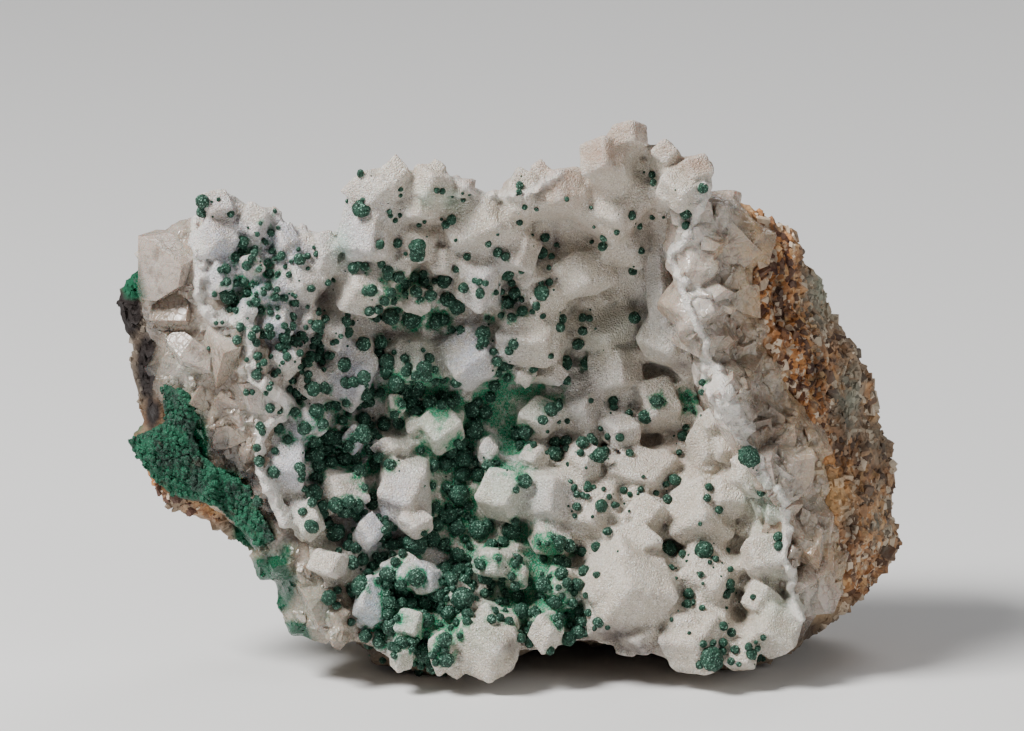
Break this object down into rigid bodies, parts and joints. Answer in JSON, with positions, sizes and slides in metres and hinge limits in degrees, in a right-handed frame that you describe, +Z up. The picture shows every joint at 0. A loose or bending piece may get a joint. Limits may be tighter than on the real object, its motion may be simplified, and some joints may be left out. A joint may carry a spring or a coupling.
{
  "type": "malachite specimen",
  "caption": "Upright broken piece of a crystal-lined hollow: drusy quartz blocks sprinkled with dark green malachite balls, in a quartz and iron-stained rock wall.",
  "frame": {"origin": "bottom centre of the whole piece, on the surface that it stands on", "axes": "+Z up, +X to the right of a viewer who looks into the hollow, +Y away from that viewer, into the rock"},
  "size_m": [0.1186, 0.0524, 0.0868],
  "materials": {
    "host_rock": "matte granular",
    "quartz": "glassy broken",
    "druse": "sugary sparkle",
    "malachite": "fine grained sheen",
    "velvet_malachite": "velvety"
  },
  "bodies": {
    "root": {"druse_crust": "druse", "host_rock": "host_rock", "malachite_cluster_01": "malachite", "malachite_cluster_02": "malachite", "malachite_cluster_03": "malachite", "malachite_cluster_04": "malachite", "malachite_cluster_05": "malachite", "malachite_cluster_06": "malachite", "malachite_cluster_07": "malachite", "malachite_cluster_08": "malachite", "malachite_cluster_09": "malachite", "malachite_cluster_10": "malachite", "malachite_cluster_11": "malachite", "malachite_cluster_12": "malachite", "malachite_cluster_13": "malachite", "malachite_cluster_14": "malachite", "malachite_cluster_15": "malachite", "malachite_cluster_16": "malachite", "malachite_cluster_17": "malachite", "malachite_cluster_18": "malachite", "malachite_cluster_19": "malachite", "malachite_cluster_20": "malachite", "malachite_cluster_21": "malachite", "malachite_cluster_22": "malachite", "malachite_cluster_23": "malachite", "malachite_cluster_24": "malachite", "malachite_cluster_25": "malachite", "malachite_cluster_26": "malachite", "malachite_cluster_27": "malachite", "malachite_cluster_28": "malachite", "malachite_cluster_29": "malachite", "malachite_cluster_30": "malachite", "malachite_cluster_31": "malachite", "malachite_cluster_32": "malachite", "malachite_cluster_33": "malachite", "malachite_cluster_34": "malachite", "malachite_cluster_35": "malachite", "malachite_cluster_36": "malachite", "malachite_cluster_37": "malachite", "malachite_cluster_38": "malachite", "malachite_cluster_39": "malachite", "malachite_cluster_40": "malachite", "malachite_cluster_41": "malachite", "malachite_cluster_42": "malachite", "malachite_cluster_43": "malachite", "malachite_cluster_44": "malachite", "malachite_cluster_45": "malachite", "malachite_cluster_46": "malachite", "malachite_cluster_47": "malachite", "malachite_cluster_48": "malachite", "malachite_cluster_49": "malachite", "malachite_cluster_50": "malachite", "malachite_cluster_51": "malachite", "malachite_cluster_52": "malachite", "malachite_cluster_53": "malachite", "malachite_cluster_54": "malachite", "malachite_velvet": "velvet_malachite", "quartz_wall": "quartz"}
  },
  "joints": []
}
